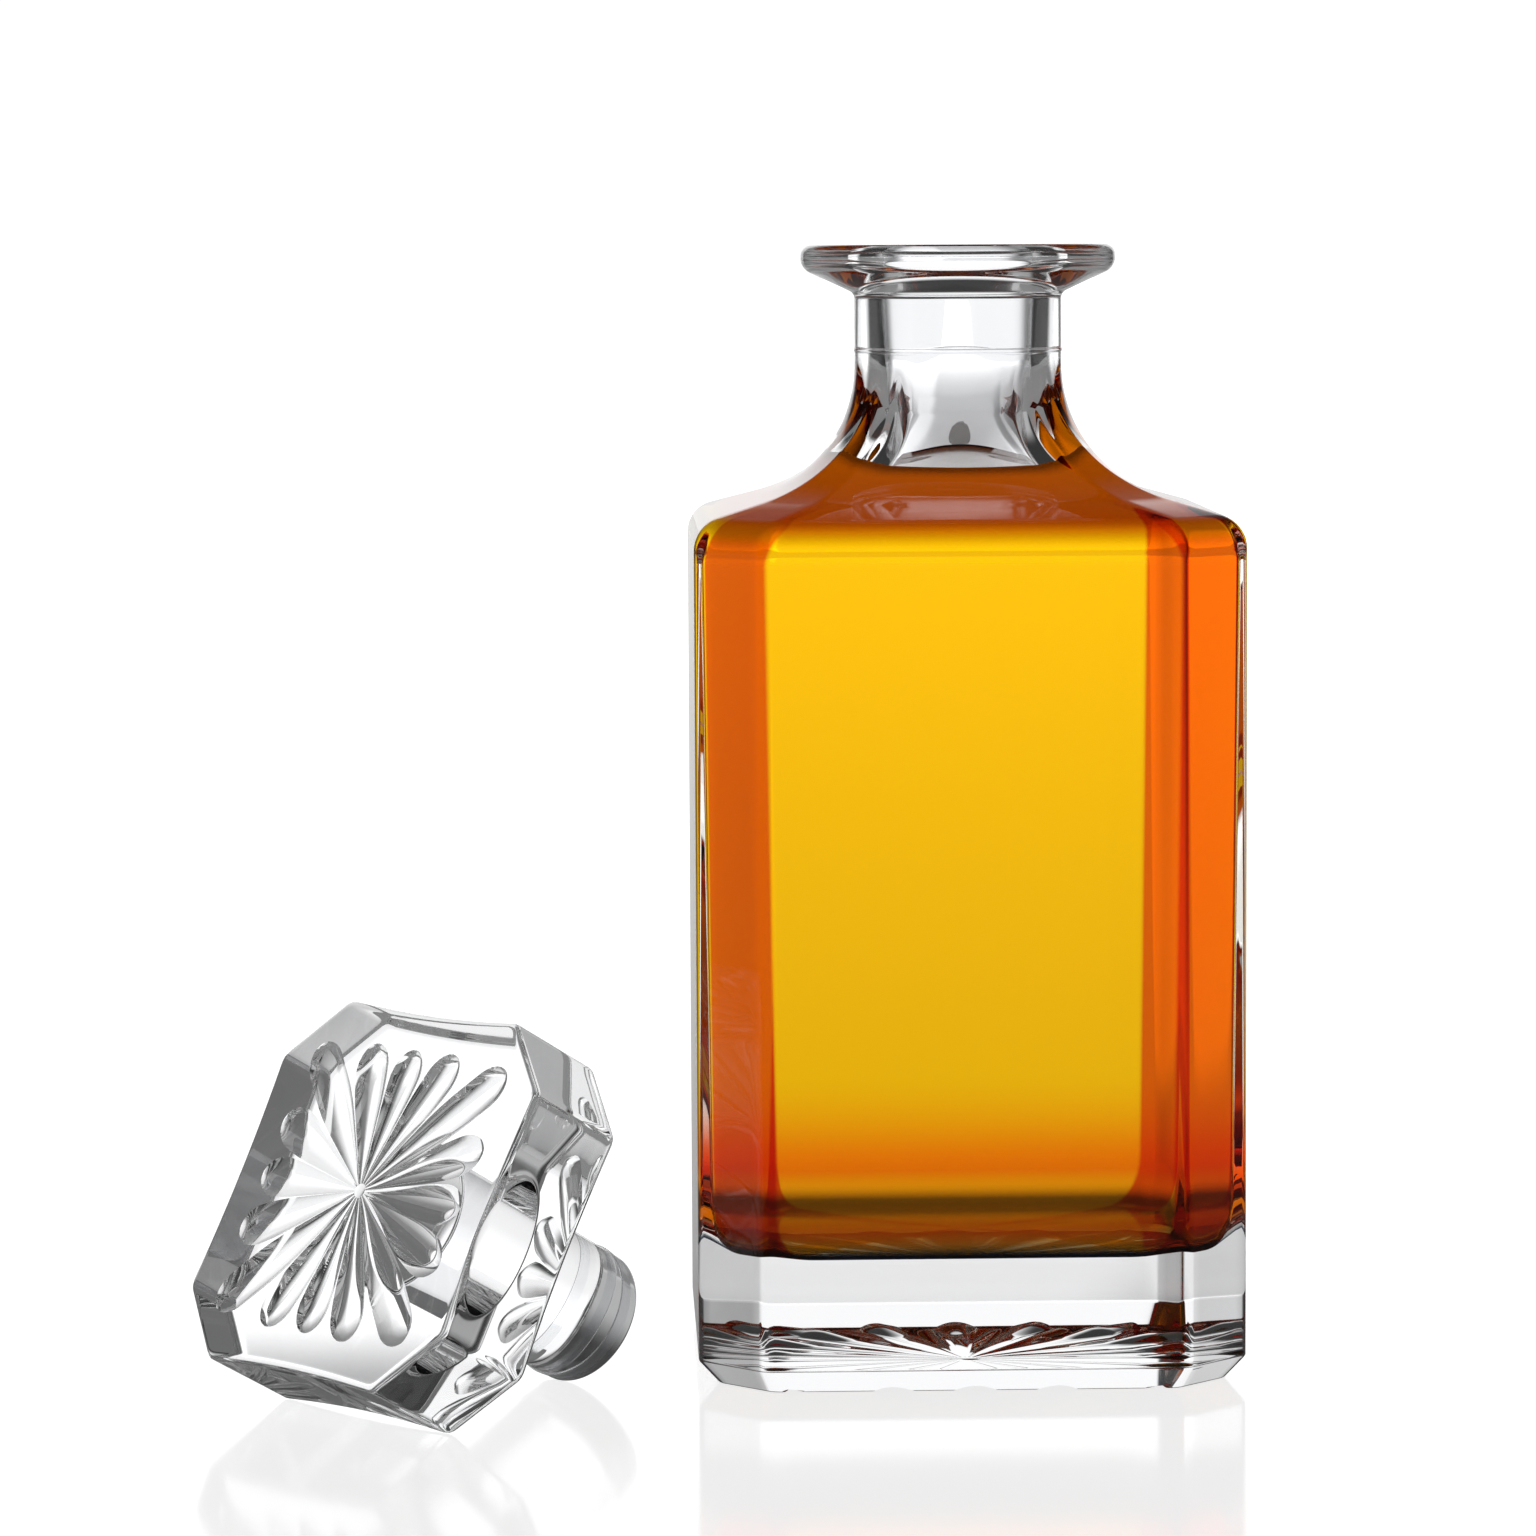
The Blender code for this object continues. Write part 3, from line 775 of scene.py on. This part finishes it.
def make_stopper(material):
    past_plug, short_of_edge = HEAD_RINGS
    plug = rounded([
        (0.0, 0.0, 0.0),
        (PLUG_R_END, 0.0, PLUG_ROUND),
        (PLUG_R_HEAD, PLUG_LENGTH, PLUG_FILLET),
        (PLUG_R_HEAD + past_plug / 2, PLUG_LENGTH, 0.0),
    ])[1:]
    head = rounded([
        (PLUG_R_HEAD + past_plug, PLUG_LENGTH, 0.0),
        (HEAD_HALF, PLUG_LENGTH, HEAD_BACK_ROUND),
        (HEAD_HALF, STOPPER_LENGTH, HEAD_FRONT_ROUND),
        (HEAD_HALF - short_of_edge, STOPPER_LENGTH, 0.0),
    ])[1:]
    rings = [turned_section(radius, z) for radius, z in plug]
    rings += [head_section(half, z) for half, z in head]
    bm = bmesh.new()
    end, face = loft(bm, rings, 0)
    bm.faces.new(end)
    bm.faces.new(face)
    stopper = finish_mesh(bm, "stopper_glass", [material])
    cut_star(stopper, HEAD_STAR_RAYS, head_star_stations, STAR_PLACE)
    shade(stopper)
    lay_down(stopper)
    return stopper


def make_seal_ring(material):
    low_r, high_r = plug_radius(RING_LOW), plug_radius(RING_HIGH)
    profile = rounded([
        (low_r + RING_GAP, RING_LOW + RING_LEDGE, 0.0),
        (low_r + RING_GAP, RING_LOW, 0.0),
        (high_r + RING_PROUD, RING_HIGH, RING_EDGE_ROUND),
        (high_r + RING_GAP, RING_HIGH, 0.0),
        (low_r + RING_GAP, RING_HIGH - RING_LEDGE, 0.0),
    ])
    bm = bmesh.new()
    first, last = loft(bm, [turned_section(radius, z) for radius, z in profile], 0)
    count = len(first)
    for i in range(count):
        j = (i + 1) % count
        bm.faces.new((last[i], last[j], first[j], first[i]))
    ring = finish_mesh(bm, "seal_ring", [material])
    shade(ring)
    lay_down(ring)
    return ring


def floor_glow(tree):
    """How bright the floor is: even in plain view, with bright and dark zones seen through glass.

    It is dimmer to rays that were just mirrored, as if they were taken through a polariser.
    """
    coordinates = tree.nodes.new("ShaderNodeTexCoord")
    split = tree.nodes.new("ShaderNodeSeparateXYZ")
    tree.links.new(coordinates.outputs["Object"], split.inputs["Vector"])
    x, y, _ = split.outputs
    by_bottle = ramp(tree, x, *FLOOR_BY_BOTTLE)
    start = math_node(tree, "MULTIPLY", by_bottle, FLOOR_DARK_BEHIND_BOTTLE)
    behind = ramp(tree, math_node(tree, "SUBTRACT", y, start), *FLOOR_BRIGHT_BEHIND)
    across = math_node(tree, "SUBTRACT", x, FLOOR_FAN_FROM[0])
    ahead = math_node(tree, "SUBTRACT", y, FLOOR_FAN_FROM[1])
    aside = math_node(tree, "ABSOLUTE", math_node(tree, "ARCTAN2", across, ahead))
    fan = ramp(tree, aside, FLOOR_FAN_FADES, FLOOR_FAN_EDGE)
    strip_side, strip_end = ramp(tree, x, *FLOOR_STRIP_SIDE), ramp(tree, y, *FLOOR_STRIP_END)
    strip = math_node(tree, "MULTIPLY", strip_side, strip_end)
    strip = math_node(tree, "MULTIPLY", strip, math_node(tree, "SUBTRACT", 1.0, by_bottle))
    fan = math_node(tree, "MAXIMUM", fan, strip)
    bright = math_node(tree, "MULTIPLY", behind, fan)
    most = math_node(tree, "SUBTRACT", FLOOR_GLOW_BY_STOPPER, FLOOR_NEAR)
    less = math_node(tree, "MULTIPLY", by_bottle, FLOOR_GLOW_BY_STOPPER - FLOOR_GLOW)
    bright = math_node(tree, "MULTIPLY", bright, math_node(tree, "SUBTRACT", most, less))
    away = math_node(tree, "ADD", math_node(tree, "ABSOLUTE", x), math_node(tree, "ABSOLUTE", y))
    far_off, in_front = ramp(tree, away, *FLOOR_FAR_FROM), ramp(tree, y, *FLOOR_FAR_SIDE)
    far = math_node(tree, "MULTIPLY", far_off, in_front)
    far = math_node(tree, "MULTIPLY", far, FLOOR_FAR - FLOOR_NEAR)
    dim = math_node(tree, "ADD", far, FLOOR_NEAR)
    through = math_node(tree, "ADD", bright, dim)
    through = math_node(tree, "MULTIPLY", through, for_mirror(tree, FLOOR_IN_MIRRORS))
    path = tree.nodes.new("ShaderNodeLightPath")
    seen = math_node(tree, "MULTIPLY", path.outputs["Is Camera Ray"], FLOOR_SEEN)
    unseen = math_node(tree, "SUBTRACT", 1.0, path.outputs["Is Camera Ray"])
    return math_node(tree, "ADD", math_node(tree, "MULTIPLY", through, unseen), seen)


def make_floor():
    """A wide, pale, slightly glossy table top that glows softly, so that nothing casts a shadow."""
    bm = bmesh.new()
    corners = ((-1, -1), (1, -1), (1, 1), (-1, 1))
    bm.faces.new([bm.verts.new((x * FLOOR_HALF, y * FLOOR_HALF, 0.0)) for x, y in corners])
    material = principled(
        "studio_floor",
        Base_Color=FLOOR_COLOUR,
        Roughness=FLOOR_ROUGHNESS,
        IOR=FLOOR_IOR,
        Emission_Color=WHITE,
    )
    tree = material.node_tree
    tree.links.new(floor_glow(tree), tree.nodes["Principled BSDF"].inputs["Emission Strength"])
    floor = finish_mesh(bm, "studio_floor", [material])
    floor.location.z = -FLOOR_DROP


def make_flag():
    """A one-sided card between the pieces that glows a dim grey, hidden from the camera: painted grey
    shade in the stopper that keeps the whisky's gold out of it.

    Only rays that come through the stopper meet it. From its back it lets everything through.
    """
    x = BOTTLE_AT.x - BODY_HALF - FLAG_OFF
    low, high = BOTTLE_AT.y - FLAG_HALF, BOTTLE_AT.y + FLAG_HALF
    corners = ((x, low, 0.0), (x, low, FLAG_TOP), (x, high, FLAG_TOP), (x, high, 0.0))
    bm = bmesh.new()
    bm.faces.new([bm.verts.new(c) for c in corners])
    material = bpy.data.materials.new("studio_flag")
    material.use_nodes = True
    tree = material.node_tree
    tree.nodes.remove(tree.nodes["Principled BSDF"])
    glow = tree.nodes.new("ShaderNodeEmission")
    glow.inputs["Strength"].default_value = FLAG_LEVEL
    clear = tree.nodes.new("ShaderNodeBsdfTransparent")
    side = tree.nodes.new("ShaderNodeNewGeometry")
    mix = tree.nodes.new("ShaderNodeMixShader")
    tree.links.new(side.outputs["Backfacing"], mix.inputs["Fac"])
    tree.links.new(glow.outputs["Emission"], mix.inputs[1])
    tree.links.new(clear.outputs["BSDF"], mix.inputs[2])
    tree.links.new(mix.outputs["Shader"], material_output(tree).inputs["Surface"])
    flag = finish_mesh(bm, "studio_flag", [material])
    if flag.data.polygons[0].normal.x > 0:
        flag.data.flip_normals()
    flag.visible_camera = False
    flag.visible_diffuse = False


def make_world():
    """Tall bright panels on four sides, with dark gaps at the corners and a dark ceiling.

    In plain view it is white all round.
    """
    world = bpy.data.worlds.new("studio")
    bpy.context.scene.world = world
    world.use_nodes = True
    tree = world.node_tree
    background = tree.nodes["Background"]
    coordinates = tree.nodes.new("ShaderNodeTexCoord")
    split = tree.nodes.new("ShaderNodeSeparateXYZ")
    tree.links.new(coordinates.outputs["Generated"], split.inputs["Vector"])
    x, y, z = split.outputs
    aside = math_node(tree, "ABSOLUTE", math_node(tree, "ARCTAN2", x, y))
    turn = math_node(tree, "ABSOLUTE", math_node(tree, "PINGPONG", aside, math.pi / 4))
    panel = ramp(tree, turn, PANEL_FADES, PANEL_EDGE)
    height = ramp(tree, z, PANEL_TOP, PANEL_TOP_FADES)
    behind = ramp(tree, y, *BACK_PANEL_TURN)
    more = math_node(tree, "MULTIPLY", behind, PANEL_LEVEL - SIDE_LEVEL)
    power = math_node(tree, "ADD", more, SIDE_LEVEL)
    level = math_node(tree, "MULTIPLY", math_node(tree, "MULTIPLY", panel, height), power)
    level = math_node(tree, "ADD", level, GAP_LEVEL)
    turned_back, low = ramp(tree, y, *BACKDROP_TURN), ramp(tree, z, *BACKDROP_TOP)
    backdrop = math_node(tree, "MULTIPLY", turned_back, low)
    mirrored = math_node(tree, "MAXIMUM", for_mirror(tree, WORLD_IN_MIRRORS), backdrop)
    level = math_node(tree, "MULTIPLY", level, mirrored)
    path = tree.nodes.new("ShaderNodeLightPath")
    seen = math_node(tree, "MAXIMUM", level, path.outputs["Is Camera Ray"])
    tree.links.new(seen, background.inputs["Strength"])
    background.inputs["Color"].default_value = WHITE


def make_camera():
    """A front view, from a little left of the bottle and level with its lip."""
    forward = Vector((0.0, math.cos(CAMERA_PITCH), -math.sin(CAMERA_PITCH)))
    right = Vector((1.0, 0.0, 0.0))
    up = right.cross(forward)
    level_right = right * math.cos(CAMERA_ROLL) + up * math.sin(CAMERA_ROLL)
    level_up = up * math.cos(CAMERA_ROLL) - right * math.sin(CAMERA_ROLL)
    data = bpy.data.cameras.new("camera")
    data.sensor_width = CAMERA_SENSOR
    data.lens = CAMERA_LENS
    camera = bpy.data.objects.new("camera", data)
    bpy.context.scene.collection.objects.link(camera)
    turned = Matrix((level_right, level_up, -forward)).transposed().to_4x4()
    camera.matrix_world = Matrix.Translation(BOTTLE_AT + CAMERA_FROM_BOTTLE) @ turned
    bpy.context.scene.camera = camera


def set_up_render():
    scene = bpy.context.scene
    scene.view_settings.view_transform = "Standard"
    scene.cycles.max_bounces = BOUNCES
    scene.cycles.transmission_bounces = BOUNCES
    scene.cycles.glossy_bounces = GLOSSY_BOUNCES
    scene.cycles.transparent_max_bounces = CLEAR_BOUNCES


def make_pieces():
    dry_glass = crystal("crystal", CRYSTAL_IOR)
    wet_glass = crystal("crystal_wetted", CRYSTAL_IOR / WHISKY_IOR)
    clear_seal = principled(
        "clear_silicone",
        Base_Color=SEAL_COLOUR,
        Roughness=SEAL_ROUGHNESS,
        IOR=SEAL_IOR,
        Transmission_Weight=1.0,
    )
    bottle = make_bottle(dry_glass, wet_glass)
    # Against the glass the whisky bends nothing: the wetted glass has the index of the pair.
    whisky_body = whisky("whisky_body", 1.0, Base_Color=WHITE)
    paint_whisky_shade(whisky_body)
    # Its free surface carries painted shade and a painted blue-grey reflection.
    whisky_surface = whisky(
        "whisky_surface",
        WHISKY_IOR,
        Base_Color=SURFACE_PAINTED_SHADE_COLOUR,
        Specular_Tint=SURFACE_PAINTED_REFLECTION_TINT,
    )
    drink = make_whisky(whisky_body, whisky_surface)
    stopper = make_stopper(dry_glass)
    ring = make_seal_ring(clear_seal)
    for piece, node, body, slot in (
        (bottle, "decanter_bottle", "bottle", "crystal"),
        (stopper, "stopper", "stopper", "crystal"),
        (ring, "stopper_seal_ring", "stopper", "clear_seal"),
    ):
        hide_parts(node)
        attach(piece, body)
    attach(drink, "bottle")


def main():
    set_up_render()
    make_pieces()
    make_floor()
    make_flag()
    make_world()
    make_camera()


main()
